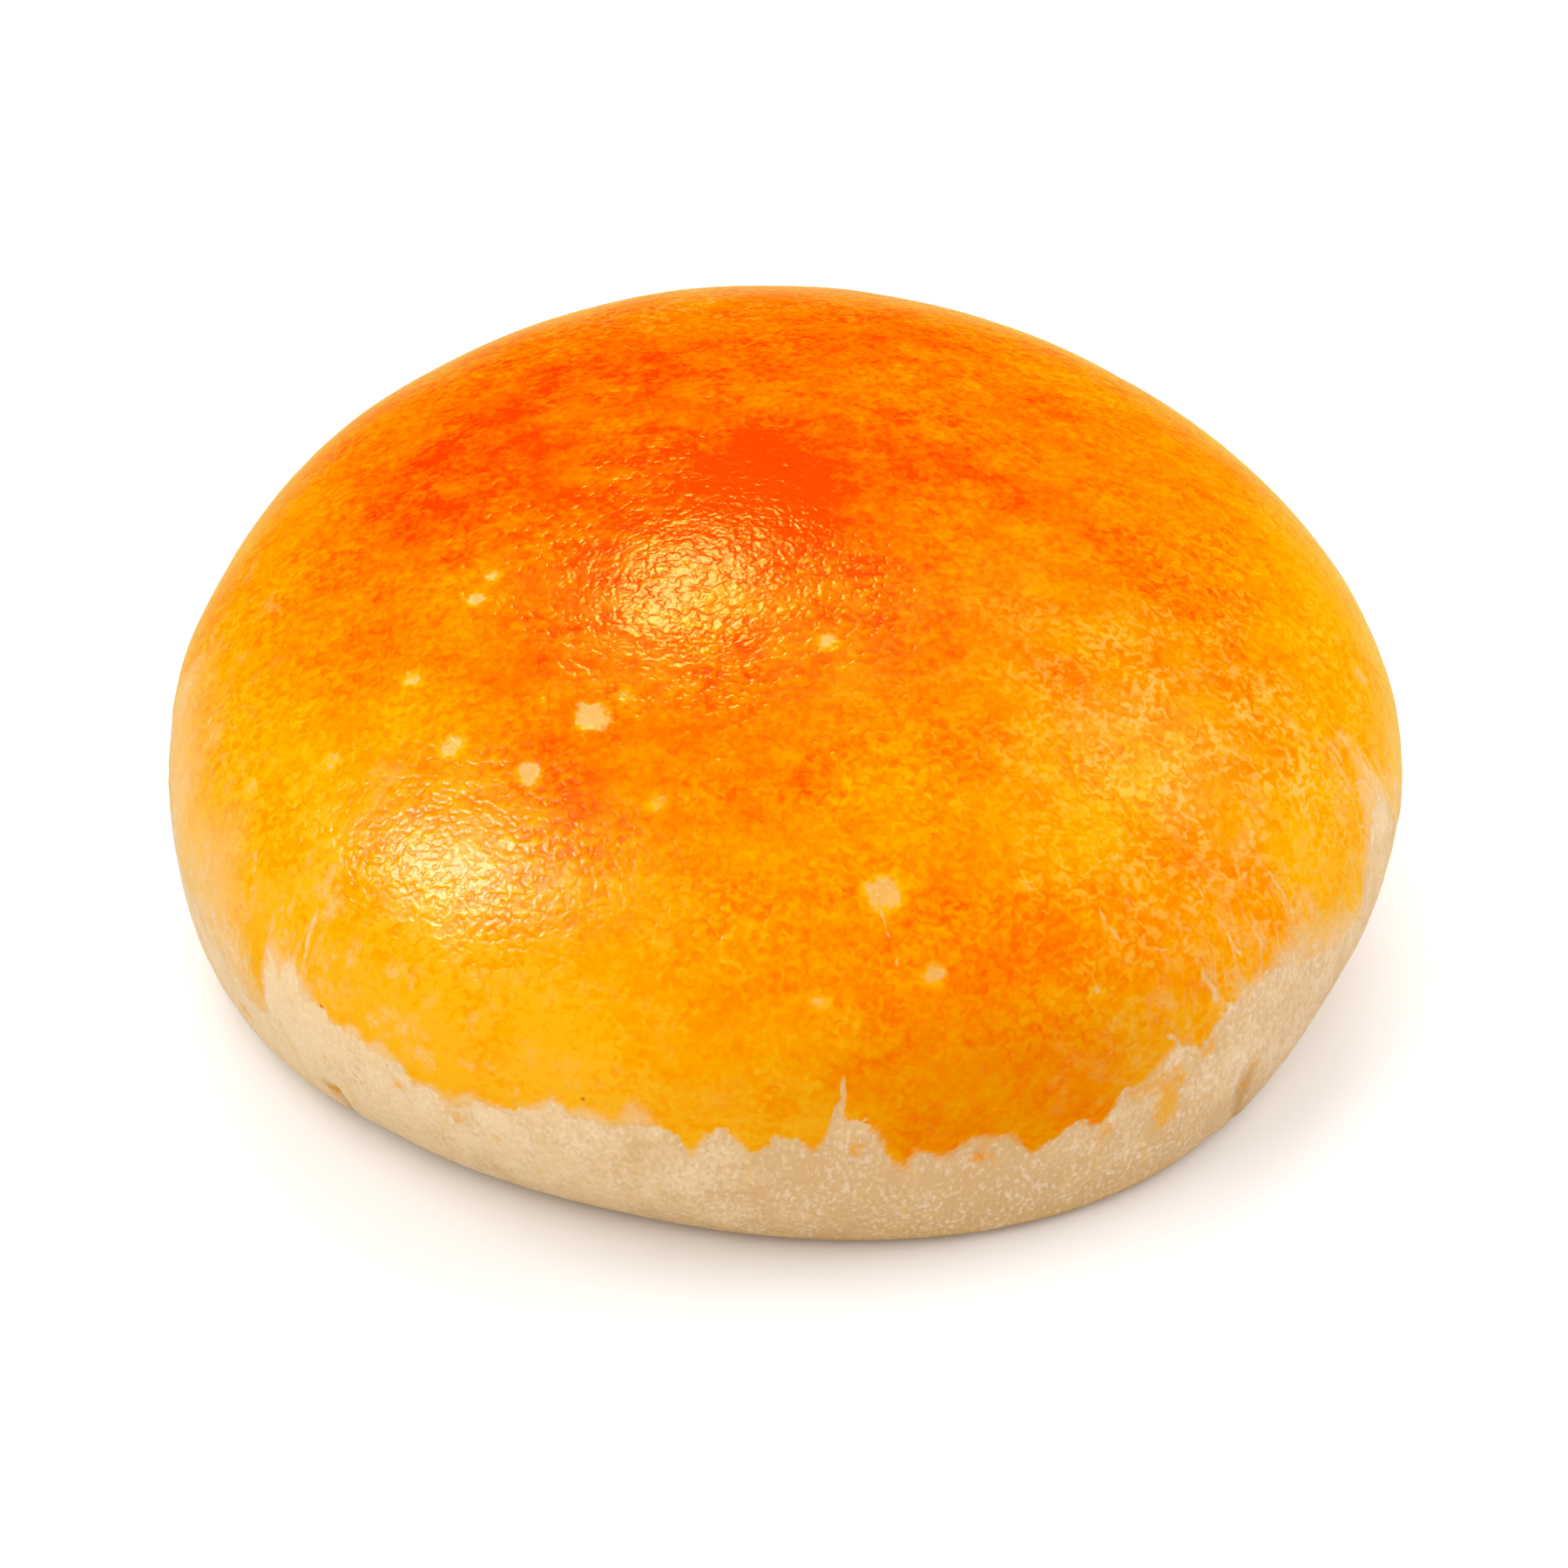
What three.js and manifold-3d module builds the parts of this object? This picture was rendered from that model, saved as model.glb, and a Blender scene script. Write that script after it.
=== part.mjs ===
// A round potato bread bun, baked as one piece of dough: a domed crown over a rounded flank and a flat base.
// The plan is slightly uneven, the crown leans a little, and the dough is tucked under at the foot,
// which leaves short creases that run up the flank from the base.
// Millimetres, +Z up, origin at the middle of the base of the bun's box.

import * as THREE from "three";
import { mergeVertices } from "three/addons/utils/BufferGeometryUtils.js";
import Module from "manifold-3d";

// Driving dimensions of the bun
const WAIST_RADIUS = 48; // mean radius at the widest level
const HEIGHT = 40; // base to the top of the crown
const WAIST_HEIGHT = 15.5; // level of the widest girth
const FOOT_SHARE = 0.88; // mean radius of the base as a share of the waist
const CROWN_POWER = 2.06; // 2 is an ellipse, more is squarer
const FLANK_POWER = 1.6; // under 2 the flank slopes in towards the foot
const CROWN_LEAN = new THREE.Vector2(-1.1, 0.35); // how far the top stands off the middle

// Uneven outline: each lobe is [waves round the bun, share of the radius, angle of its crest in degrees]
const WAIST_LOBES = [
  [2, 0.007, 0],
  [3, 0.021, -23.5],
];
const FOOT_LOBES = [
  [1, 0.022, 186.5],
  [2, 0.026, 134],
  [3, 0.046, 61],
];

// Creases where the dough is tucked under: angle round the bun and level of the middle of each crease,
// its lean in degrees and its half length
const TUCKS = [
  { angle: -42, level: 5.4, lean: 8, halfLength: 4.8 },
  { angle: -137.5, level: 4.6, lean: -10, halfLength: 3.6 },
  { angle: 62, level: 4.6, lean: 8, halfLength: 4.4 },
  { angle: 148, level: 4.8, lean: -6, halfLength: 4 },
];
const TUCK_HALF_WIDTH = 0.7;
const TUCK_DEPTH = 0.8;
const TUCK_SIDES = 16;
const TUCK_RINGS = 10;

// Facets across the crown and base, and up the side
const CROWN_STEPS = 28;
const SIDE_STEPS = 16;

const CRUST = new THREE.MeshStandardMaterial({
  name: "egg washed crust",
  color: 0xff9100,
  roughness: 0.38,
  metalness: 0,
});

const QUARTER_TURN = Math.PI / 2;
const clamp01 = (value) => THREE.MathUtils.clamp(value, 0, 1);

// Sum of the lobes at an angle, as a share of the radius
function unevenness(lobes, angle) {
  const wave = ([waves, share, crest]) =>
    share * Math.cos(waves * (angle - THREE.MathUtils.degToRad(crest)));
  return lobes.reduce((sum, lobe) => sum + wave(lobe), 0);
}

// Point of the bun at an angle round it and a rise of 1 at the top of the crown, 0 at the waist,
// -1 at the edge of the base and -2 at the middle of the base
function bunPoint(angle, rise) {
  const power = 2 / (rise >= 0 ? CROWN_POWER : FLANK_POWER);
  const sweep = clamp01(Math.abs(rise)) * QUARTER_TURN;
  const inward = Math.cos(sweep) ** power;
  const upward = Math.sin(sweep) ** power;
  const foot = FOOT_SHARE + unevenness(FOOT_LOBES, angle);
  const waist = WAIST_RADIUS * (1 + unevenness(WAIST_LOBES, angle));
  if (rise >= 0) {
    const z = WAIST_HEIGHT + (HEIGHT - WAIST_HEIGHT) * upward;
    return new THREE.Vector3(
      waist * inward * Math.cos(angle) + CROWN_LEAN.x * upward,
      waist * inward * Math.sin(angle) + CROWN_LEAN.y * upward,
      z,
    );
  }
  const acrossBase = 1 - clamp01(-rise - 1);
  const radius = waist * acrossBase * (foot + (1 - foot) * inward);
  const z = rise > -1 ? WAIST_HEIGHT * (1 - upward) : 0;
  return new THREE.Vector3(radius * Math.cos(angle), radius * Math.sin(angle), z);
}

// Turns a point of a cube of half side 1 into the angle and rise of the bun's point.
// The cube's lower edges land on the edge of the base, so the foot keeps a clean outline.
function bunPlace(cubePoint) {
  const spread = (value) => Math.tan((value * Math.PI) / 4);
  const direction = new THREE.Vector3(
    spread(cubePoint.x),
    spread(cubePoint.y),
    spread(cubePoint.z),
  ).normalize();
  const angle = Math.atan2(direction.y, direction.x);
  const latitude = Math.asin(THREE.MathUtils.clamp(direction.z, -1, 1));
  if (latitude >= 0) return { angle, rise: latitude / QUARTER_TURN };
  const footLatitude = Math.atan(Math.max(Math.abs(Math.cos(angle)), Math.abs(Math.sin(angle))));
  if (-latitude <= footLatitude) return { angle, rise: latitude / footLatitude };
  return { angle, rise: -1 - (-latitude - footLatitude) / (QUARTER_TURN - footLatitude) };
}

// The dough's whole form: a finely divided cube blown out to the bun
function doughGeometry() {
  const geometry = new THREE.BoxGeometry(2, 2, 2, CROWN_STEPS, CROWN_STEPS, SIDE_STEPS);
  const position = geometry.getAttribute("position");
  const point = new THREE.Vector3();
  for (let i = 0; i < position.count; i++) {
    point.fromBufferAttribute(position, i);
    const { angle, rise } = bunPlace(point);
    const onBun = bunPoint(angle, rise);
    position.setXYZ(i, onBun.x, onBun.y, onBun.z);
  }
  return geometry;
}

// The rise of the flank at a level between the base and the waist
function flankRise(level) {
  const upward = 1 - level / WAIST_HEIGHT;
  return -Math.asin(upward ** (FLANK_POWER / 2)) / QUARTER_TURN;
}

// The space that one tuck leaves: a long thin drop half sunk in the flank, along its slope
function tuckGeometry({ angle, level, lean, halfLength }) {
  const step = 0.01;
  const turn = THREE.MathUtils.degToRad(angle);
  const rise = flankRise(level);
  const middle = bunPoint(turn, rise);
  const slope = bunPoint(turn, rise + step).sub(middle).normalize();
  const across = bunPoint(turn + step, rise).sub(middle).normalize();
  const outward = across.clone().cross(slope).normalize();
  slope.applyAxisAngle(outward, THREE.MathUtils.degToRad(lean));
  across.crossVectors(slope, outward).normalize();
  const geometry = new THREE.SphereGeometry(1, TUCK_SIDES, TUCK_RINGS);
  geometry.scale(TUCK_HALF_WIDTH, halfLength, TUCK_DEPTH);
  const place = new THREE.Matrix4().makeBasis(across, slope, outward).setPosition(middle);
  return geometry.applyMatrix4(place);
}

const wasm = await Module();
wasm.setup();

// A closed geometry as a solid that can be cut
function solidOf(geometry) {
  geometry.deleteAttribute("normal");
  geometry.deleteAttribute("uv");
  const merged = mergeVertices(geometry);
  return new wasm.Manifold(
    new wasm.Mesh({
      numProp: 3,
      vertProperties: new Float32Array(merged.getAttribute("position").array),
      triVerts: new Uint32Array(merged.index.array),
    }),
  );
}

// A cut solid as a geometry again
function geometryOf(solid) {
  const mesh = solid.getMesh();
  const geometry = new THREE.BufferGeometry();
  geometry.setAttribute("position", new THREE.BufferAttribute(mesh.vertProperties, 3));
  geometry.setIndex(new THREE.BufferAttribute(mesh.triVerts, 1));
  geometry.computeVertexNormals();
  return geometry;
}

function bunMesh() {
  const dough = solidOf(doughGeometry());
  const tucked = TUCKS.reduce((solid, tuck) => solid.subtract(solidOf(tuckGeometry(tuck))), dough);
  const geometry = geometryOf(tucked);
  geometry.computeBoundingBox();
  const middle = geometry.boundingBox.getCenter(new THREE.Vector3());
  geometry.translate(-middle.x, -middle.y, -geometry.boundingBox.min.z);
  const bun = new THREE.Mesh(geometry, CRUST);
  bun.name = "bun";
  return bun;
}

const potatoBread = new THREE.Group();
potatoBread.add(bunMesh());

export default potatoBread;
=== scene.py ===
import functools
import math
import random

import bmesh
import bpy
import numpy as np
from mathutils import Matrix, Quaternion, Vector, noise
from mathutils.bvhtree import BVHTree


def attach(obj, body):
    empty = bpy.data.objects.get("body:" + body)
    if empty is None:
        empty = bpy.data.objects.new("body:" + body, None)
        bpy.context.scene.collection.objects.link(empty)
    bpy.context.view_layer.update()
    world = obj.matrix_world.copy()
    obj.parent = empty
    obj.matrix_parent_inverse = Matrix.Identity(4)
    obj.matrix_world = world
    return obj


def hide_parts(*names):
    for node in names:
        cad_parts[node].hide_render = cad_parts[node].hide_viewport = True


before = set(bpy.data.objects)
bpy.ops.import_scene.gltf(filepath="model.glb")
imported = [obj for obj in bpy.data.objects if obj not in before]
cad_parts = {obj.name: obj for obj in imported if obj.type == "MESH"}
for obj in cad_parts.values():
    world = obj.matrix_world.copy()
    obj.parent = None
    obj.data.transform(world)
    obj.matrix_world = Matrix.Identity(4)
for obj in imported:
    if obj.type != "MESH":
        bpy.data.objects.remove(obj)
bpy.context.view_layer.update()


# The bun
# One ball of soft potato dough, rounded by hand with its skin tucked under, proved and baked on a tray.
# Its skin is drawn here as a fine even net over the solid of the frame, so it keeps that form and size.
MM = 0.001
CROWN_CELLS = 176
FLANK_CELLS = 80
BASE_RINGS = 10
SPREAD_WIDE = 47.0
SPREAD_HIGH = 23.0
HEART_LEVEL = 17.0
WELD_GAP = 0.005
FACET_TURN = math.radians(20)
FACET_SKEW = math.radians(60)
DOUGH_ROUNDING = 2
SMOOTHING_PASSES = 3
SMOOTHING_SHARE = 0.5


def boundary_of(geometry):
    return [part for part in geometry if isinstance(part, bmesh.types.BMEdge) and part.is_boundary]


def box_of_cells():
    """A closed box of even cells: a crown sheet, walls pulled down from its edge, and a base drawn in."""
    box = bmesh.new()
    bmesh.ops.create_grid(box, x_segments=CROWN_CELLS, y_segments=CROWN_CELLS, size=1)
    bmesh.ops.translate(box, verts=box.verts, vec=(0, 0, 1))
    edge = boundary_of(box.edges)
    for _ in range(FLANK_CELLS):
        pulled = bmesh.ops.extrude_edge_only(box, edges=edge)["geom"]
        verts = [part for part in pulled if isinstance(part, bmesh.types.BMVert)]
        bmesh.ops.translate(box, verts=verts, vec=(0, 0, -2 / FLANK_CELLS))
        edge = boundary_of(pulled)
    for ring in range(BASE_RINGS, 1, -1):
        drawn_in = bmesh.ops.extrude_edge_only(box, edges=edge)["geom"]
        verts = [part for part in drawn_in if isinstance(part, bmesh.types.BMVert)]
        share = (ring - 1) / ring
        bmesh.ops.scale(box, verts=verts, vec=(share, share, 1))
        edge = boundary_of(drawn_in)
    bmesh.ops.contextual_create(box, geom=edge)
    bmesh.ops.recalc_face_normals(box, faces=box.faces)
    return box


def rounded_solid(node):
    """The solid of the frame with its facets rounded off, as a tree that rays can be cast on."""
    solid = bmesh.new()
    solid.from_mesh(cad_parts[node].data)
    bmesh.ops.remove_doubles(solid, verts=solid.verts, dist=WELD_GAP * MM)
    bmesh.ops.join_triangles(
        solid, faces=solid.faces, angle_face_threshold=FACET_TURN, angle_shape_threshold=FACET_SKEW
    )
    mesh = bpy.data.meshes.new("rounded_solid")
    solid.to_mesh(mesh)
    solid.free()
    holder = bpy.data.objects.new("rounded_solid", mesh)
    bpy.context.scene.collection.objects.link(holder)
    rounding = holder.modifiers.new("rounding", "SUBSURF")
    rounding.levels = DOUGH_ROUNDING
    rounding.render_levels = DOUGH_ROUNDING
    tree = BVHTree.FromObject(holder, bpy.context.evaluated_depsgraph_get())
    bpy.data.objects.remove(holder)
    bpy.data.meshes.remove(mesh)
    return tree


def draw_over(box, tree):
    """Moves each point of the box out along its ray from the bun's heart to the rounded solid."""
    heart = Vector((0, 0, HEART_LEVEL)) * MM
    for vert in box.verts:
        way = Vector([math.tan(part * math.pi / 4) for part in vert.co]).normalized()
        ray = Vector((way.x * SPREAD_WIDE, way.y * SPREAD_WIDE, way.z * SPREAD_HIGH)).normalized()
        vert.co = tree.ray_cast(heart, ray)[0]


skin = box_of_cells()
draw_over(skin, rounded_solid("bun"))
for _ in range(SMOOTHING_PASSES):
    bmesh.ops.smooth_vert(
        skin, verts=skin.verts, factor=SMOOTHING_SHARE, use_axis_x=True, use_axis_y=True, use_axis_z=True
    )
skin.normal_update()
points = np.array([vert.co for vert in skin.verts]) / MM
around = np.degrees(np.arctan2(points[:, 1], points[:, 0]))
level = points[:, 2]


# Where the egg wash ends
# The wash was brushed over the crown and ran down the flank in drips: it stops at a wandering, ragged line.
# It dried thin near that line, far up the flank on some stretches, and left smudges below it.
SEED_STRIDE = (17.3, 5.1, 9.7)
FILM_STEP = 0.4
RAGGED_EDGE = 0.9
RAGGED_SIZE = 2.0
EDGE_SOFTNESS = 0.1
EDGE_SOFTNESS_LEAST = 0.17
# The line's angle round the bun in degrees and its level in mm, from the left round the front to the right
WASH_EDGE = [
    (-176, 19.5), (-168, 17.0), (-163, 18.3), (-159, 14.8), (-154, 14.2), (-151, 13.5), (-149, 12.0),
    (-145, 11.2), (-142.8, 11.2), (-142.0, 17.6), (-141.2, 18.4), (-140.2, 17.2), (-138.6, 19.0),
    (-137.4, 17.4), (-135, 17.0), (-132, 16.4), (-127, 15.7), (-125, 14.6), (-122.3, 14.5), (-120.4, 12.8),
    (-119.4, 14.2), (-117, 14.5), (-113.5, 15.4), (-111, 16.5), (-109.5, 15.6), (-101, 15.5), (-99.8, 14.8),
    (-98.8, 12.9), (-98, 12.5), (-97.3, 14.4), (-96, 15.7), (-94, 14.5), (-92.8, 13.2), (-91, 14.7),
    (-89, 14.8), (-87.4, 13.3), (-86.6, 14.6), (-85.4, 17.3), (-83.5, 16.4), (-81.6, 15.0), (-80.6, 12.0),
    (-79, 10.7), (-78.2, 12.2), (-75.5, 11.5), (-72.5, 13.0), (-69.5, 11.8), (-67, 10.0), (-65, 10.7),
    (-63, 12.2), (-60.2, 11.0), (-58.4, 13.8), (-55, 14.2), (-53.2, 15.6), (-50, 14.3), (-48.8, 15.5),
    (-47, 17.0), (-44, 17.1), (-41, 18.0), (-38, 17.3), (-34, 15.9), (-28, 14.3), (-26.6, 14.6),
    (-25.6, 16.8), (-23, 18.2), (-20, 20.3), (-17.5, 20.3), (-15.5, 16.0),
]
# The far side's drips hang by chance: how many, between which angles and at which levels
DRIPS_BEHIND = 48
DRIP_ANGLES = (-10, 179)
DRIP_LEVELS = (11.5, 18.0)
# A thin stretch is its angle, its half width in degrees and how far above the edge its film is thin, in mm
THIN_STRETCHES = [
    (-168, 15, 10.0), (-150, 7, 11.0), (-139, 3, 1.0), (-122, 6, 1.0), (-103.5, 2, 2.0), (-53, 3, 1.5),
    (-34, 8, 3.5), (-14, 10, 5.0), (8, 10, 5.0), (50, 14, 4.0), (96, 12, 5.0), (150, 16, 5.0),
]
THIN_EDGE = 0.4
THIN_SHARE = 0.45
THIN_WANDER = 1.2
THIN_WANDER_SIZE = 3.0
# A smudge is its angle and level, half width in degrees and half height in mm, and how much film it left
SMUDGES = [
    (-53.3, 10.6, 1.6, 3.6, 0.9), (-54.5, 4.3, 0.8, 0.7, 0.5), (-72.0, 11.0, 1.7, 1.6, 0.6),
    (-73.9, 8.2, 0.6, 0.7, 0.6), (-59.8, 10.2, 1.3, 1.5, 0.55), (-83.7, 13.6, 0.9, 0.9, 0.7),
    (-48.9, 14.4, 1.2, 1.3, 0.6), (-49.0, 9.2, 0.9, 0.9, 0.4), (-148.7, 8.0, 1.2, 1.1, 0.7),
    (-126.6, 13.2, 1.1, 0.7, 0.6), (-120.5, 12.2, 1.4, 1.1, 0.6), (-116.8, 10.7, 0.9, 0.7, 0.5),
    (-135.5, 11.2, 0.7, 0.7, 0.5), (-79.3, 11.0, 1.3, 0.9, 0.5), (-42.5, 6.0, 0.6, 0.7, 0.8),
    (-42.7, 9.0, 0.7, 0.6, 0.7), (-137.5, 5.4, 0.6, 1.4, 0.9), (24, 11.0, 1.5, 2.0, 0.8),
    (71, 10.5, 1.0, 1.2, 0.6), (118, 11.5, 1.6, 2.6, 0.8), (-55.5, 13.2, 2.4, 1.4, 0.65),
    (-52.6, 12.8, 1.2, 2.0, 0.7), (137, 9.0, 0.9, 0.9, 0.5), (163, 12.0, 1.2, 1.6, 0.7),
]


def smooth_step(start, end, values):
    """0 before the start and 1 past the end, with a soft change between."""
    share = np.clip((values - start) / (end - start), 0, 1)
    return share * share * (3 - 2 * share)


def rumple(size, seed, octaves=2):
    """Even soft unevenness of the dough from -1 to 1, with swells of that size in mm."""
    shift = Vector([seed * stride for stride in SEED_STRIDE])
    return np.array([noise.fractal(Vector(point) / size + shift, 1.0, 2.0, octaves) for point in points])


def turn_between(angles, middle):
    return (angles - middle + 180) % 360 - 180


def hump(angles, middle, half_width):
    return np.exp(-((turn_between(angles, middle) / half_width) ** 2))


def round_side(stretches):
    """How strong the stretches are at each point, by its angle round the bun."""
    return sum(much * hump(around, at, width) for at, width, much in stretches)


def wash_line(angles):
    """Level of the edge of the wash at each angle round the bun, with chance drips on the far side."""
    draw = random.Random(11)
    behind = [(angle, draw.uniform(*DRIP_LEVELS)) for angle in np.linspace(*DRIP_ANGLES, DRIPS_BEHIND)]
    line = np.array(WASH_EDGE + behind)
    return np.interp(angles, line[:, 0], line[:, 1], period=360)


def smudge_at(angle, height, half_width, half_height, share):
    return share * hump(around, angle, half_width) * np.exp(-(((level - height) / half_height) ** 2))


above_wash = level - wash_line(around)
thin_edge = THIN_EDGE + round_side(THIN_STRETCHES)
thickened = smooth_step(0, 1, (above_wash + THIN_WANDER * rumple(THIN_WANDER_SIZE, seed=5)) / thin_edge)
wash_depth = THIN_SHARE + (1 - THIN_SHARE) * thickened
above_wash += RAGGED_EDGE * rumple(RAGGED_SIZE, seed=6, octaves=3)
washed = smooth_step(-FILM_STEP, FILM_STEP, above_wash)
edge_softness = EDGE_SOFTNESS * thin_edge + EDGE_SOFTNESS_LEAST
smudged = np.max([smudge_at(*smudge) for smudge in SMUDGES], axis=0)


# Bare spots and cracks
# Where a bubble or a dry patch under the brush shed the wash, the pale dough shows in round spots.
# The film also split in fine cracks as the bun rose, most of them running down the flank.
MM_A_DEGREE = 0.83
# A spot is its place in mm and its radius
BARE_SPOTS = [
    ((-14.5, -24.1, 36.1), 1.1), ((7.2, -37.5, 30.4), 1.2), ((-23.6, -10.8, 36.9), 0.55),
    ((-22.3, -8.7, 37.5), 0.36), ((-28.1, -17.5, 34.5), 0.4), ((-24.9, -24.5, 33.6), 0.65),
    ((-19.2, -28.0, 33.9), 0.62), ((-11.9, -22.5, 36.9), 0.36), ((3.1, -17.8, 38.3), 0.4),
    ((-9.7, -31.5, 33.9), 0.25), ((10.9, -41.7, 26.1), 0.55), ((-34.2, -22.3, 30.4), 0.3),
    ((-40.6, -20.6, 26.3), 0.28), ((17.9, -35.4, 29.5), 0.3), ((2.6, -43.8, 25.3), 0.35),
    ((23.2, -39.8, 22.7), 0.28), ((44.5, -5.2, 24.9), 0.7), ((14.2, 39.0, 27.0), 1.0),
    ((-23.4, 37.2, 25.0), 0.8), ((32.6, 29.4, 24.0), 1.2), ((-7.0, 43.1, 26.0), 0.7),
]
# A crack is its two ends, each an angle in degrees and a level in mm, and its half width in mm at each end
CRACKS = [
    ((-84.2, 21.4), (-85.4, 16.6), 0.05, 0.4), ((-79.6, 29.6), (-78.7, 27.0), 0.06, 0.02),
    ((-49.3, 22.3), (-47.9, 18.4), 0.05, 0.3), ((-53.6, 18.2), (-52.4, 15.0), 0.05, 0.5),
    ((-137.9, 25.0), (-137.4, 20.4), 0.05, 0.14), ((-139.6, 20.8), (-138.6, 18.0), 0.04, 0.25),
    ((-142.9, 21.0), (-141.5, 17.8), 0.04, 0.25), ((-141.9, 23.4), (-141.0, 20.8), 0.03, 0.1),
    ((-147.6, 24.2), (-146.0, 22.0), 0.03, 0.1), ((-45.8, 26.5), (-44.3, 20.6), 0.03, 0.1),
    ((-37.6, 24.6), (-36.8, 21.0), 0.03, 0.12), ((-57.2, 28.0), (-55.9, 25.2), 0.03, 0.07),
    ((-55.9, 25.2), (-51.0, 23.2), 0.06, 0.02), ((-50.2, 16.6), (-49.0, 14.4), 0.03, 0.12),
    ((58.0, 21.0), (57.0, 15.0), 0.05, 0.5), ((131.0, 23.0), (132.0, 17.0), 0.05, 0.4),
]


def gap_to(place):
    return np.linalg.norm(points - np.array(place), axis=1)


def nearness(start, end, half_start, half_end):
    """How far inside a crack each point lies, in mm: positive in it and negative outside."""
    across = turn_between(around, start[0]) * MM_A_DEGREE
    along = np.array([(end[0] - start[0]) * MM_A_DEGREE, end[1] - start[1]])
    offset = np.stack([across, level - start[1]], axis=1)
    share = np.clip(offset @ along / (along @ along), 0, 1)
    gap = np.linalg.norm(offset - share[:, None] * along, axis=1)
    return half_start + (half_end - half_start) * share - gap


spots = np.max([radius - gap_to(at) for at, radius in BARE_SPOTS], axis=0)
cracks = np.max([nearness(*crack) for crack in CRACKS], axis=0)


# Browning
# The oven browned the crown most, a little left of its middle and behind it, and the front in patches.
# The side below the wash stayed pale on the left and is most toasted at the front.
BROWN_MIDDLE = (-6.0, 4.0)
BROWN_REACH = 46.0
BROWN_MOST = 0.8
BROWN_FALL = (0.35, 1.15)
BROWN_CLOUDS = 0.16
BROWN_CLOUD_SIZE = 9.0
BROWN_FRECKLES = 0.06
BROWN_FRECKLE_SIZE = 3.5
SPOT_PALING = 0.3
SPOT_HALO = (-0.9, 0.0)
# A patch is its place in mm, its radius, and how much more or less than the rest it is browned
BROWN_PATCHES = [
    ((-1, 1, 40), 6, 0.34), ((-2, -4, 40), 5, 0.2), ((-24, 6, 36), 9, 0.19), ((-11, 20, 37), 5, 0.1),
    ((-9, 28, 34), 8, -0.18), ((5, 13, 38), 7, -0.12), ((20, 21, 34), 8, 0.13), ((34, 14, 32), 8, 0.15),
    ((33, -2, 33), 12, 0.2), ((39, -9, 29), 8, 0.24), ((27, -20, 33), 12, 0.2), ((31, -34, 24), 9, 0.26),
    ((18, -10, 37), 7, -0.16), ((10, -15, 38), 8, 0.05), ((3, -19, 38), 5, -0.15),
    ((-22, -7, 37), 6, -0.22), ((-31, -13, 33), 6, 0.15), ((-19, -25, 35), 5, 0.14),
    ((-37, -28, 27), 7, -0.1), ((-15, -29, 34), 6, 0.26),
    ((-4, -26, 37), 8, -0.02), ((-4, -42, 26), 8, 0.16), ((5, -41, 27), 16, 0.29), ((14, -46, 16), 9, 0.3),
    ((18, -38, 25), 8, 0.42), ((22, -45, 13), 6, 0.24), ((-4, -5, 40), 5, 0.22), ((0, 8, 39), 6, 0.08),
    ((28, -3, 35), 5, 0.14), ((35, -20, 28), 7, 0.15), ((35, -30, 22), 5, 0.12), ((-5, -20, 38), 4, 0.12),
    ((-15, -12, 38), 5, 0.12), ((36, -7, 31), 4, -0.14), ((20, 6, 37), 6, -0.1), ((13, -43, 22), 6, -0.1),
    ((24, -35, 27), 6, -0.1), ((21, -25, 34), 6, -0.1), ((0, 22, 36), 8, 0.08), ((12, 2, 39), 5, 0.12),
    ((-2, -46, 17), 6, -0.1),
]
# A painted shade patch is its place in mm, its radius, and how strongly painted shade darkens the film
# there
PAINTED_SHADE_PATCHES = [((15, -46, 16), 12, 0.9), ((25, -41, 18), 8, 0.7), ((2, -46, 20), 8, 0.3)]
# A stretch of the side is its angle, its half width in degrees and how toasted its dough is
TOASTED_STRETCHES = [(-76, 30, 1.1), (-34, 20, 0.6), (60, 30, 0.7), (140, 25, 0.5)]
TOAST_CLOUDS = 0.3
TOAST_CLOUD_SIZE = 5.0
TOAST_AT_FOOT = 0.15
FOOT_LEVELS = (6, 0)
# A greyed stretch is its angle, its half width in degrees and how much less yellow its dough is
GREYED_STRETCHES = [(-34, 18, 1.0), (80, 25, 0.6)]
# A floury stretch has more flour on its dough, below the levels in mm where it fades out
FLOURY_STRETCHES = [(-66, 18, 0.6), (-92, 9, 0.3), (20, 20, 0.8), (115, 25, 0.8)]
FLOURY_LEVELS = (11, 5)
# A worn stretch has a film that is thin on the ridges of its wrinkles, whose pale ridges are partly a
# painted sheen, up to the levels where it fades out
WORN_AND_SHEEN_STRETCHES = [(-36, 20, 1.0), (100, 22, 0.7)]
WORN_AND_SHEEN_LEVELS = (39, 33)
# Streaky and blotched stretches have a broken film, which is whole again so many mm above its edge
STREAKY_STRETCHES = [
    (-146, 11, 0.8), (-12, 15, 1.0), (-44, 9, 0.6), (40, 18, 0.8), (100, 15, 1.0), (165, 14, 0.8),
]
STREAKY_RISE = (9, 3)
BLOTCHED_STRETCHES = [(-175, 22, 0.6), (-134, 24, 1.0), (-40, 24, 0.6), (30, 30, 0.8), (150, 25, 0.8)]
BLOTCHED_RISE = (17, 3)
# A tuck is the angle of the crease at the base, its lean to the left in degrees for each mm up, and its top
TUCKS = [(-41.2, 0.17, 9.8), (-138.0, -0.2, 7.5), (61.4, 0.17, 9.0), (148.4, -0.1, 8.5)]
TUCK_HALF_TURN = 0.5
TUCK_FADE = 3.0


def in_patches(patches):
    """How strong the patches are at each point, by how near it is to their middles."""
    return sum(much * np.exp(-((gap_to(at) / radius) ** 2)) for at, radius, much in patches)


def crease(at, lean, top):
    return hump(around + lean * level, at, TUCK_HALF_TURN) * smooth_step(top, top - TUCK_FADE, level)


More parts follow.
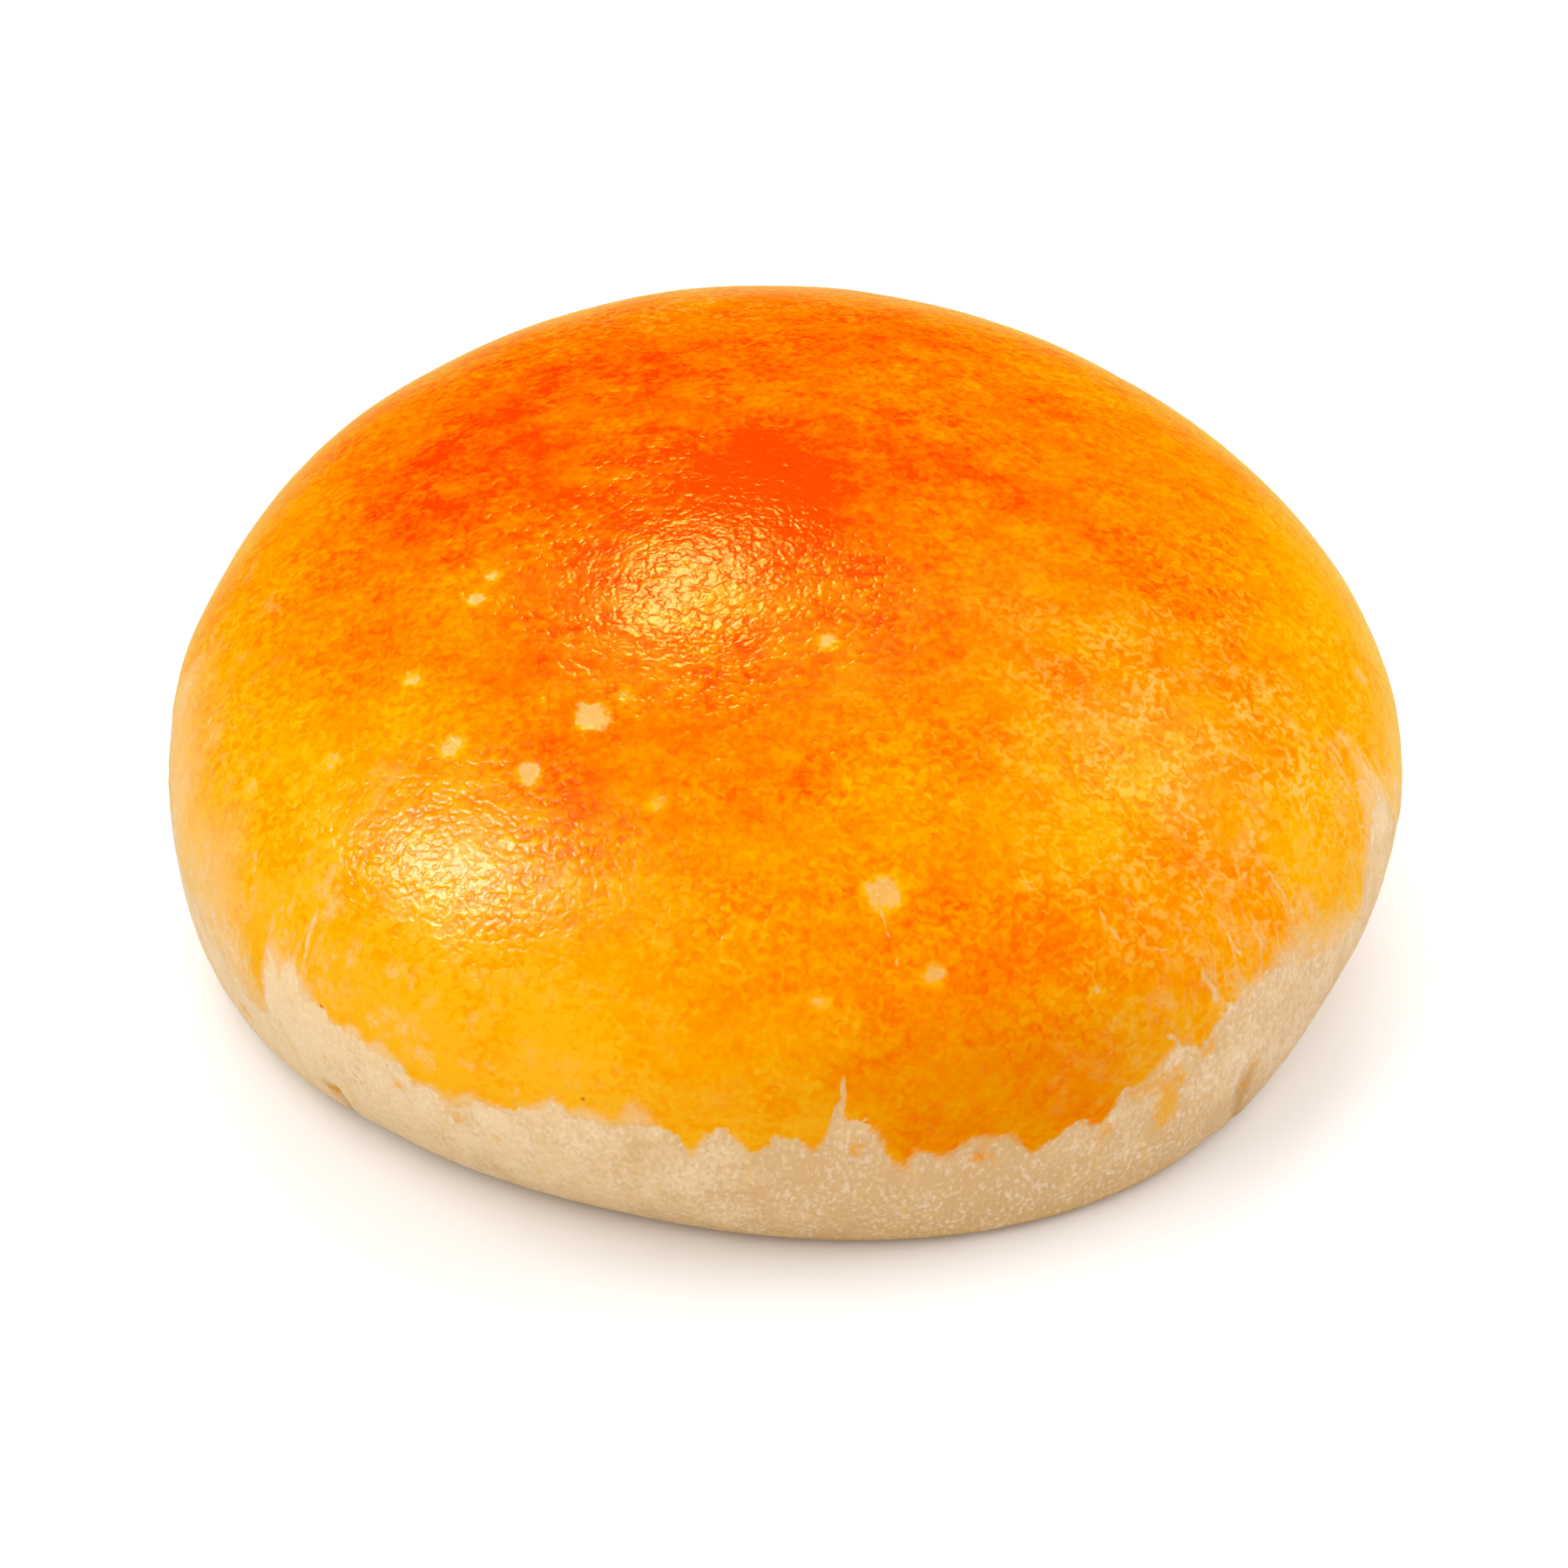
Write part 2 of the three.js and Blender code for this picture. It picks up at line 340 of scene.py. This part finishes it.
reach = np.linalg.norm(points[:, :2] - np.array(BROWN_MIDDLE), axis=1) / BROWN_REACH
browning = BROWN_MOST * (1 - smooth_step(*BROWN_FALL, reach))
browning += in_patches(BROWN_PATCHES)
browning += BROWN_CLOUDS * rumple(BROWN_CLOUD_SIZE, seed=2)
browning += BROWN_FRECKLES * rumple(BROWN_FRECKLE_SIZE, seed=7, octaves=3)
browning -= SPOT_PALING * smooth_step(*SPOT_HALO, spots)
# Painted shade: the film is darker low on the front right, where less light falls
dulled = in_patches(PAINTED_SHADE_PATCHES)
toasted = round_side(TOASTED_STRETCHES) + TOAST_CLOUDS * rumple(TOAST_CLOUD_SIZE, seed=9, octaves=3)
toasted += TOAST_AT_FOOT * smooth_step(*FOOT_LEVELS, level)
greyed = round_side(GREYED_STRETCHES)
floury = round_side(FLOURY_STRETCHES) * smooth_step(*FLOURY_LEVELS, level)
worn = round_side(WORN_AND_SHEEN_STRETCHES) * smooth_step(*WORN_AND_SHEEN_LEVELS, level)
streaky = round_side(STREAKY_STRETCHES) * smooth_step(*STREAKY_RISE, above_wash)
blotched = round_side(BLOTCHED_STRETCHES) * smooth_step(*BLOTCHED_RISE, above_wash)
creased = sum(crease(*tuck) for tuck in TUCKS)


# Relief of the skin
# The dough has low swells where it was rounded, and a fine crumb where it is bare.
# The film of wash lies a little proud of it, puckered, with dips at the bare spots and open cracks.
SWELL_HEIGHT = 0.22
SWELL_SIZE = 16.0
PUCKER_HEIGHT = 0.045
PUCKER_SIZE = 2.2
CRUMB_HEIGHT = 0.05
CRUMB_SWELL_SIZE = 1.6
WASH_THICKNESS = 0.06
SPOT_DEPTH = 0.14
SPOT_SLOPE = (-0.5, 0.5)
CRACK_DEPTH = 0.15
CRACK_SLOPE = (-0.5, 0.4)
TUCK_DEEPENING = 0.3
FLAT_BASE_LEVELS = (0.0, 2.5)
off_base = smooth_step(*FLAT_BASE_LEVELS, level)
pucker = 1 - np.abs(rumple(PUCKER_SIZE, seed=3))
relief = SWELL_HEIGHT * rumple(SWELL_SIZE, seed=1)
relief += washed * (WASH_THICKNESS + PUCKER_HEIGHT * pucker)
relief += (1 - washed) * CRUMB_HEIGHT * rumple(CRUMB_SWELL_SIZE, seed=4)
relief -= SPOT_DEPTH * smooth_step(*SPOT_SLOPE, spots) * washed
relief -= CRACK_DEPTH * smooth_step(*CRACK_SLOPE, cracks) + TUCK_DEEPENING * creased
for vert, push in zip(skin.verts, relief * off_base * MM):
    vert.co += vert.normal * push

crust_mesh = bpy.data.meshes.new("bun_crust")
skin.to_mesh(crust_mesh)
skin.free()
crust_mesh.shade_smooth()
kept_values = {
    "above_wash": above_wash, "wash_depth": wash_depth, "edge_softness": edge_softness, "smudged": smudged,
    "spots": spots, "browning": browning, "dulled": dulled, "worn": worn, "blotched": blotched,
    "streaky": streaky, "toasted": toasted, "greyed": greyed, "floury": floury, "creased": creased,
}
for name, values in kept_values.items():
    kept = crust_mesh.attributes.new(name, "FLOAT", "POINT")
    kept.data.foreach_set("value", values.astype(np.float32))
bun_crust = bpy.data.objects.new("bun_crust", crust_mesh)
bpy.context.scene.collection.objects.link(bun_crust)


# Crust
# Egg wash dried to a thin glossy film, finely wrinkled, from yellow to deep orange where it browned.
# Below its edge the dough is bare: pale, matte and floury, with a fine crumb and golden streaks.
class Tone:
    """A value of the crust's finish, which sums like a number."""

    tree = None

    def __init__(self, socket):
        self.socket = socket

    @classmethod
    def node(cls, kind, settings=None, sockets=None, out=0):
        made = cls.tree.nodes.new(kind)
        for name, value in (settings or {}).items():
            if name == "stops":
                for _ in range(len(value) - len(made.color_ramp.elements)):
                    made.color_ramp.elements.new(0.5)
                for stop, (position, colour) in zip(made.color_ramp.elements, value):
                    stop.position = position
                    stop.color = (*colour, 1)
            else:
                setattr(made, name, value)
        for name, value in (sockets or {}).items():
            if isinstance(value, Tone):
                cls.tree.links.new(value.socket, made.inputs[name])
            else:
                made.inputs[name].default_value = value
        return cls(made.outputs[out])

    @classmethod
    def math(cls, operation, first, second=0.0):
        return cls.node("ShaderNodeMath", {"operation": operation}, {0: first, 1: second})

    @classmethod
    def max(cls, first, second):
        return cls.math("MAXIMUM", first, second)

    def __add__(self, other):
        return self.math("ADD", self, other)

    def __sub__(self, other):
        return self.math("SUBTRACT", self, other)

    def __rsub__(self, other):
        return self.math("SUBTRACT", other, self)

    def __mul__(self, other):
        return self.math("MULTIPLY", self, other)

    __radd__ = __add__
    __rmul__ = __mul__


def kept_value(name):
    return Tone.node("ShaderNodeAttribute", {"attribute_name": name}, out="Fac")


def step(value, start, end, at_start=0.0, at_end=1.0):
    """A soft change from one strength at the start to another at the end."""
    sockets = {"Value": value, "From Min": start, "From Max": end, "To Min": at_start, "To Max": at_end}
    return Tone.node("ShaderNodeMapRange", {"interpolation_type": "SMOOTHSTEP"}, sockets)


def grain(place, size, detail=1.0, rough=0.5, bend=0.0):
    """Even noise round 0 with grains of that size in mm, bent into strokes where bend is over 0."""
    sockets = {"Vector": place, "Scale": 1 / size, "Detail": detail, "Roughness": rough, "Distortion": bend}
    return Tone.node("ShaderNodeTexNoise", {}, sockets) - 0.5


def vector(operation, first, second=(0, 0, 0), out="Vector"):
    return Tone.node("ShaderNodeVectorMath", {"operation": operation}, {0: first, 1: second}, out=out)


def scaled(first, share):
    return Tone.node("ShaderNodeVectorMath", {"operation": "SCALE"}, {0: first, "Scale": share})


def mix(share, first, second):
    """A mix of two colours, which are the node's sockets 6 and 7 and its output 2."""
    first, second = (part if isinstance(part, Tone) else (*part, 1) for part in (first, second))
    return Tone.node("ShaderNodeMix", {"data_type": "RGBA"}, {0: share, 6: first, 7: second}, out=2)


def crack_line(flank, start, end, half_start, half_end):
    """How far inside a crack the finish lies, in mm: positive in it and negative outside."""
    along = Vector(((end[0] - start[0]) * MM_A_DEGREE, end[1] - start[1], 0))
    offset = vector("SUBTRACT", flank, (start[0] * MM_A_DEGREE, start[1], 0))
    share = vector("DOT_PRODUCT", offset, along, out="Value") * (1 / along.length_squared)
    share = Tone.node("ShaderNodeClamp", {}, {0: share})
    gap = vector("LENGTH", vector("SUBTRACT", offset, scaled(along, share)), out="Value")
    return half_start + (half_end - half_start) * share - gap


crust = bpy.data.materials.new("egg_washed_crust")
crust.use_nodes = True
Tone.tree = crust.node_tree

# Places in mm: on the bun, on its flank drawn out into downward streaks, and on its flank unrolled
GIRTH_RADIUS = 48.0
STREAK_DRAW = 0.15
STREAK_SWAY = 2.0
STREAK_SWAY_SIZE = 3.0
CRACK_SWAY = 1.4
CRACK_SWAY_SIZE = 2.0
place = scaled(Tone.node("ShaderNodeTexCoord", out="Object"), 1 / MM)
east, north, up = (Tone.node("ShaderNodeSeparateXYZ", {}, {0: place}, out=axis) for axis in "XYZ")
sideways = vector("NORMALIZE", vector("MULTIPLY", place, (1, 1, 0)))
down_flank = vector("ADD", scaled(sideways, GIRTH_RADIUS), vector("MULTIPLY", place, (0, 0, STREAK_DRAW)))
down_flank = vector("ADD", down_flank, grain(place, STREAK_SWAY_SIZE) * STREAK_SWAY)
round_flank = Tone.math("ARCTAN2", north, east) * math.degrees(MM_A_DEGREE)
flank = Tone.node("ShaderNodeCombineXYZ", {}, {"X": round_flank, "Y": up})
flank = vector("ADD", flank, grain(place, CRACK_SWAY_SIZE, 2.0) * CRACK_SWAY)

# Wrinkles of the film, which are fainter in patches, low on the flank and on top
# A fade is where it starts and ends and, where these aren't 0 and 1, how strong it is at the start and end
WRINKLE_SIZE = 0.62
WRINKLE_BEND = 0.8
WRINKLE_PATCH_SIZE = 6.0
WRINKLE_PATCH_FADE = (-0.25, 0.25, 0.65, 1.35)
WRINKLE_FLANK_FADE = (12.0, 30.0, 0.6, 1.0)
WRINKLE_TOP_FADE = (33.0, 39.0, 1.0, 0.8)
RIDGE_FADE = (-0.05, 0.2)
wrinkled = step(grain(place, WRINKLE_PATCH_SIZE), *WRINKLE_PATCH_FADE)
wrinkled = wrinkled * step(up, *WRINKLE_FLANK_FADE) * step(up, *WRINKLE_TOP_FADE)
wrinkle = grain(place, WRINKLE_SIZE, 0.0, bend=WRINKLE_BEND) * wrinkled
ridge = step(wrinkle, *RIDGE_FADE)

# Where the film lies and how thick it is: whole above its edge, broken in smudges, streaks and flecks
FINE_SIZE = 0.5
EDGE_FINENESS = 1.6
EDGE_GRAIN_SIZE = 1.3
EDGE_SPREAD = 5.0
SMUDGE_GRAIN = 1.1
SMUDGE_GRAIN_SIZE = 0.8
SMUDGE_FADE = (0.15, 0.8, 0.0, 0.8)
SPOT_GRAIN = 3.0
SPOT_GRAIN_SIZE = 1.4
SPOT_FADE = (-0.3, 0.5)
CRACK_GRAIN = 0.6
CRACK_GRAIN_SIZE = 1.0
CRACK_FADE = (-0.1, 0.12)
BARE_SHARE = 0.8
STREAK_SIZE = 1.6
STREAK_FADE = (0.045, 0.01)
STREAK_THINNING = 0.4
FLECK_SIZE = 2.4
FLECK_FADE = (0.0, 0.22)
FLECK_THINNING = 0.4
WORN_AND_SHEEN_PATCH_SIZE = 4.0
WORN_AND_SHEEN_PATCH_FADE = (-0.2, 0.2)
WORN_AND_SHEEN_THINNING = 0.24
fine = grain(place, FINE_SIZE)
above = kept_value("above_wash")
softness = kept_value("edge_softness")
edge_grain = fine * EDGE_FINENESS + grain(place, EDGE_GRAIN_SIZE, 3.0) * softness * EDGE_SPREAD
wash = step(above + edge_grain, softness * -1, softness)
smudge = step(kept_value("smudged") + grain(place, SMUDGE_GRAIN_SIZE, 2.0) * SMUDGE_GRAIN, *SMUDGE_FADE)
spot = step(kept_value("spots") + grain(place, SPOT_GRAIN_SIZE, 4.0, 0.65) * SPOT_GRAIN, *SPOT_FADE)
crack = functools.reduce(Tone.max, [crack_line(flank, *line) for line in CRACKS])
crack = step(crack + grain(place, CRACK_GRAIN_SIZE, 2.0) * CRACK_GRAIN, *CRACK_FADE)
bare = Tone.max(spot, crack)
streak = step(Tone.math("ABSOLUTE", grain(down_flank, STREAK_SIZE, 2.0)), *STREAK_FADE)
fleck = step(grain(place, FLECK_SIZE, 4.0, 0.7), *FLECK_FADE)
# Pale ridges where the film is worn thin: partly real and partly a painted sheen on the right of the crown
worn_and_sheen_ridge = ridge * step(grain(place, WORN_AND_SHEEN_PATCH_SIZE), *WORN_AND_SHEEN_PATCH_FADE)
thinning = streak * kept_value("streaky") * STREAK_THINNING
thinning = thinning + fleck * kept_value("blotched") * FLECK_THINNING
thinning = thinning + worn_and_sheen_ridge * kept_value("worn") * WORN_AND_SHEEN_THINNING
film = Tone.max(wash * (kept_value("wash_depth") - thinning), smudge) * (1 - bare * BARE_SHARE)

# Colour of the film, from the least browned to the most, mottled and darker between its wrinkles
WASH_TONES = [
    (0.0, (0.84, 0.39, 0.010)),
    (0.25, (0.84, 0.30, 0.001)),
    (0.5, (0.84, 0.205, 0.0)),
    (0.75, (0.84, 0.125, 0.0)),
    (1.0, (0.82, 0.045, 0.0)),
]
# The tint by which painted shade darkens the film
PAINTED_SHADE_TINT = (0.9, 0.88, 1)
MOTTLE_SIZE = 2.2
MOTTLE_STRETCH = (0.65, 1, 1)
MOTTLE_LEAST = 0.3
MOTTLE_WHERE_BROWN = 0.5
DOT_SIZE = 1.1
DOT_FADE = (0.27, 0.33)
DOT_PALING_AND_GLINT = 0.25
WRINKLE_PALING = 0.6
FINE_BROWNING = 0.2
THIN_FILM_TONE = 0.2
browned = kept_value("browning")
mottle = grain(vector("MULTIPLY", place, MOTTLE_STRETCH), MOTTLE_SIZE, 3.0)
# Pale raised dots in the film, whose paler colour is partly painted glints
dots = step(grain(place, DOT_SIZE), *DOT_FADE)
tone = browned + mottle * (browned * MOTTLE_WHERE_BROWN + MOTTLE_LEAST)
tone = tone - wrinkle * WRINKLE_PALING + fine * FINE_BROWNING - dots * DOT_PALING_AND_GLINT
tone = tone * (film * (1 - THIN_FILM_TONE) + THIN_FILM_TONE)
washed_colour = Tone.node("ShaderNodeValToRGB", {"stops": WASH_TONES}, {"Fac": tone})
# Painted shade darkens the film in patches low on the front right
washed_colour = mix(kept_value("dulled"), washed_colour, vector("MULTIPLY", washed_colour, PAINTED_SHADE_TINT))

# Colour of the dough: toasted in clouds, golden in streaks, at its foot and near the wash, with flour on
# it, and darker along the tuck creases, partly their own brown and partly painted shade
DOUGH = (0.79, 0.565, 0.325)
DOUGH_TOASTED = (0.645, 0.395, 0.175)
DOUGH_GOLDEN = (0.75, 0.46, 0.15)
FLOUR = (0.86, 0.68, 0.50)
CREASE_BROWN_AND_SHADE = (0.58, 0.31, 0.1)
SPOT = (0.655, 0.335, 0.075)
GREYING = (1.0, 1.03, 1.17)
CRUMB_SIZE = 0.4
CRUMB_STRETCH = (1, 1, 0.6)
TOAST_CRUMB = 1.8
TOAST_GRAIN = 1.4
TOAST_GRAIN_SIZE = 1.8
TOAST_FADE = (-0.2, 1.2)
GOLD_CRUMB = 0.5
GOLD_SIZE = 1.3
GOLD_FADE = (0.0, 0.3, 0.0, 0.55)
GOLD_FOOT_FADE = (3.5, 0.5, 0.0, 0.5)
GOLD_WASH_FADE = (11.0, 18.0, 0.0, 0.2)
FLOUR_SIZE = 0.36
FLOUR_PATCHES = 0.3
FLOUR_PATCH_SIZE = 2.4
FLOUR_FADE = (-0.02, 0.26)
FLOUR_LEAST = 0.45
FLOUR_MORE = 0.3
CREASE_BROWN_AND_SHADE_SHARE = 0.8
SPOT_CRUMB_FADE = (0.0, 0.4)
SPOT_RISE = (2.0, 8.0)
tall = vector("MULTIPLY", place, CRUMB_STRETCH)
crumb = grain(tall, CRUMB_SIZE, 2.0)
toast = kept_value("toasted") - crumb * TOAST_CRUMB - grain(tall, TOAST_GRAIN_SIZE, 2.0) * TOAST_GRAIN
toast = step(toast, *TOAST_FADE)
golden = step(grain(down_flank, GOLD_SIZE, 3.0) + crumb * GOLD_CRUMB, *GOLD_FADE)
golden = Tone.max(golden, step(up, *GOLD_FOOT_FADE) + step(up, *GOLD_WASH_FADE))
flour = step(grain(tall, FLOUR_SIZE) + grain(tall, FLOUR_PATCH_SIZE) * FLOUR_PATCHES, *FLOUR_FADE)
flour = flour * (kept_value("floury") * FLOUR_MORE + FLOUR_LEAST)
dough_colour = mix(golden, mix(toast, DOUGH, DOUGH_TOASTED), DOUGH_GOLDEN)
dough_colour = mix(kept_value("greyed"), dough_colour, vector("MULTIPLY", dough_colour, GREYING))
dough_colour = mix(flour, dough_colour, FLOUR)
# The creases of the tucks are darkened: partly brown baked in and partly painted shade
dough_colour = mix(kept_value("creased") * CREASE_BROWN_AND_SHADE_SHARE, dough_colour, CREASE_BROWN_AND_SHADE)
spot_colour = mix(step(crumb, *SPOT_CRUMB_FADE), SPOT, DOUGH)
bare_colour = mix(step(above, *SPOT_RISE) * bare, dough_colour, spot_colour)

# The film over the dough, with a few dark specks
SPECK = (0.6, 0.16, 0.01)
SPECK_CORE = 0.4
# A speck is its place in mm and its radius
SPECKS = [
    ((-34.5, 12.8, 31.7), 0.25), ((-34.9, -35.4, 17.3), 0.25), ((-15.0, -45.9, 17.5), 0.25),
    ((-30.9, -38.1, 11.5), 0.2), ((22.0, 34.0, 27.0), 0.25), ((40.0, 22.0, 22.0), 0.2),
]
crust_colour = mix(film, bare_colour, washed_colour)
for at, radius in SPECKS:
    speck = step(vector("DISTANCE", place, at, out="Value"), radius, radius * SPECK_CORE)
    crust_colour = mix(speck, crust_colour, SPECK)

# Gloss of the film, and the finest relief
DOUGH_ROUGHNESS = 0.62
FILM_SMOOTHING = 0.46
FILM_FADE = (-0.3, 0.3)
WRINKLE_HEIGHT = 0.076
DOT_HEIGHT = 0.03
CRUMB_GRAIN = 0.11
roughness = DOUGH_ROUGHNESS - film * FILM_SMOOTHING
filmed = step(above, *FILM_FADE)
height = filmed * (wrinkle * WRINKLE_HEIGHT + dots * DOT_HEIGHT) + (1 - filmed) * crumb * CRUMB_GRAIN
bump = Tone.node("ShaderNodeBump", {}, {"Height": height, "Distance": MM})
shader = crust.node_tree.nodes["Principled BSDF"]
for name, value in (("Base Color", crust_colour), ("Roughness", roughness), ("Normal", bump)):
    crust.node_tree.links.new(value.socket, shader.inputs[name])
crust_mesh.materials.append(crust)

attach(bun_crust, "root")
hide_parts("bun")


# Table
# A plain, very pale matte surface, which runs far past the edges of the picture.
# It lies a hair below the base of the bun, and doesn't show in the gloss of the crust.
TABLE_HALF = 4.0
TABLE_DROP = 0.02 * MM
TABLE_COLOUR = (0.90, 0.90, 0.90, 1)
table_top = bmesh.new()
bmesh.ops.create_grid(table_top, x_segments=1, y_segments=1, size=TABLE_HALF)
bmesh.ops.translate(table_top, verts=table_top.verts, vec=(0, 0, -TABLE_DROP))
table_mesh = bpy.data.meshes.new("table")
table_top.to_mesh(table_mesh)
table_top.free()
table = bpy.data.objects.new("table", table_mesh)
bpy.context.scene.collection.objects.link(table)
paint = bpy.data.materials.new("pale_matte_paint")
paint.use_nodes = True
paint_shader = paint.node_tree.nodes["Principled BSDF"]
paint_shader.inputs["Base Color"].default_value = TABLE_COLOUR
paint_shader.inputs["Roughness"].default_value = 1.0
paint_shader.inputs["Specular IOR Level"].default_value = 0.0
table_mesh.materials.append(paint)
table.visible_glossy = False


# Light
# Soft boxes that only the gloss shows, two with a bright core, and broad fills kept out of the gloss.
# Round them is a pale room, which the gloss sees dim, but for warm light low behind the bun on its rims.
GLOSS_DISTANCE = 0.9
# A gloss box is the way to it, its width and length in metres, its turn in degrees, strength and colour
GLOSS_BOXES = [
    ("behind", (-0.09, 0.58, 0.81), 0.22, 0.28, 0, 6.0, (1.0, 0.8, 0.02)),
    ("behind_core", (-0.11, 0.57, 0.81), 0.12, 0.15, 0, 12.5, (1.0, 0.92, 0.4)),
    ("left", (-0.65, -0.21, 0.77), 0.3, 0.58, -35, 3.4, (1.0, 0.95, 0.65)),
    ("left_core", (-0.67, -0.2, 0.76), 0.14, 0.24, -35, 12.0, (1.0, 0.96, 0.85)),
    ("right", (0.59, 0.21, 0.78), 0.3, 0.4, 0, 1.2, (1.0, 0.85, 0.3)),
]
# A fill box is the way to it, its distance and width in metres and its power in watts
FILL_BOXES = [
    ("left_fill", (-0.56, -0.16, 0.80), 0.9, 0.8, 4.6),
    ("behind_fill", (-0.03, 0.65, 0.76), 0.9, 0.8, 4.4),
    ("right_fill", (0.75, 0.2, 0.6), 1.0, 0.8, 4.5),
    ("above_fill", (0.0, -0.1, 1.0), 1.3, 1.6, 2.0),
    ("front_fill", (0.1, -0.8, 0.6), 1.2, 1.2, 3.0),
]
ROOM_LIGHT = 0.5
ROOM_COLOUR = (1, 1, 1)
ROOM_IN_GLOSS = 0.03
RIM_IN_GLOSS = 0.75
RIM_COLOUR = (1.0, 0.95, 0.35)
RIM_BELOW = (-0.1, -0.55)
RIM_BEHIND = (0.2, 0.6)
BLACK_LEVEL = 0.012


def soft_box(name, way, distance, width, length, turn=0.0):
    """A soft box that faces the bun."""
    lamp = bpy.data.lights.new(name, "AREA")
    lamp.shape = "ELLIPSE"
    lamp.size = width
    lamp.size_y = length
    box = bpy.data.objects.new(name, lamp)
    bpy.context.scene.collection.objects.link(box)
    box.location = Vector(way).normalized() * distance
    facing = Vector(way).to_track_quat("Z", "Y")
    box.rotation_mode = "QUATERNION"
    box.rotation_quaternion = facing @ Quaternion((0, 0, 1), math.radians(turn))
    return box


for name, way, width, length, turn, strength, colour in GLOSS_BOXES:
    box = soft_box(name, way, GLOSS_DISTANCE, width, length, turn)
    box.data.energy = strength * math.pi * math.pi * width * length / 4
    box.data.color = colour
    box.visible_diffuse = False
for name, way, distance, width, power in FILL_BOXES:
    box = soft_box(name, way, distance, width, width)
    box.data.energy = power
    box.visible_glossy = False
room = bpy.data.worlds.new("room")
room.use_nodes = True
Tone.tree = room.node_tree
in_gloss = Tone.node("ShaderNodeLightPath", out="Is Glossy Ray")
seen = Tone.node("ShaderNodeTexCoord", out="Generated")
backward, upward = (Tone.node("ShaderNodeSeparateXYZ", {}, {0: seen}, out=axis) for axis in "YZ")
behind_below = step(upward, *RIM_BELOW) * step(backward, *RIM_BEHIND)
gloss_strength = ROOM_IN_GLOSS + behind_below * (RIM_IN_GLOSS - ROOM_IN_GLOSS)
room_strength = ROOM_LIGHT * (1 - in_gloss) + gloss_strength * in_gloss
room_colour = mix(in_gloss, ROOM_COLOUR, RIM_COLOUR)
background = room.node_tree.nodes["Background"]
room.node_tree.links.new(room_colour.socket, background.inputs["Color"])
room.node_tree.links.new(room_strength.socket, background.inputs["Strength"])
# Rays alone find the room, so that the gloss never takes in its plain light
room.cycles.sampling_method = "NONE"
bpy.context.scene.world = room
view = bpy.context.scene.view_settings
view.view_transform = "Standard"
view.use_curve_mapping = True
view.curve_mapping.black_level = (BLACK_LEVEL, BLACK_LEVEL, BLACK_LEVEL)


# Camera
# A long lens a little over half a metre away, looking down on the bun from the front.
# It is turned to a point near the middle of the bun, so that the bun fills the picture.
CAMERA_RISE = math.radians(40)
CAMERA_DISTANCE = 0.6
CAMERA_TARGET = Vector((-0.10, -0.95, 10.25)) * MM
CAMERA_LENS = 173.7
camera = bpy.data.objects.new("camera", bpy.data.cameras.new("camera"))
bpy.context.scene.collection.objects.link(camera)
towards_camera = Vector((0, -math.cos(CAMERA_RISE), math.sin(CAMERA_RISE)))
camera.location = CAMERA_TARGET + towards_camera * CAMERA_DISTANCE
camera.rotation_mode = "QUATERNION"
camera.rotation_quaternion = towards_camera.to_track_quat("Z", "Y")
camera.data.lens = CAMERA_LENS
bpy.context.scene.camera = camera

bpy.context.view_layer.update()
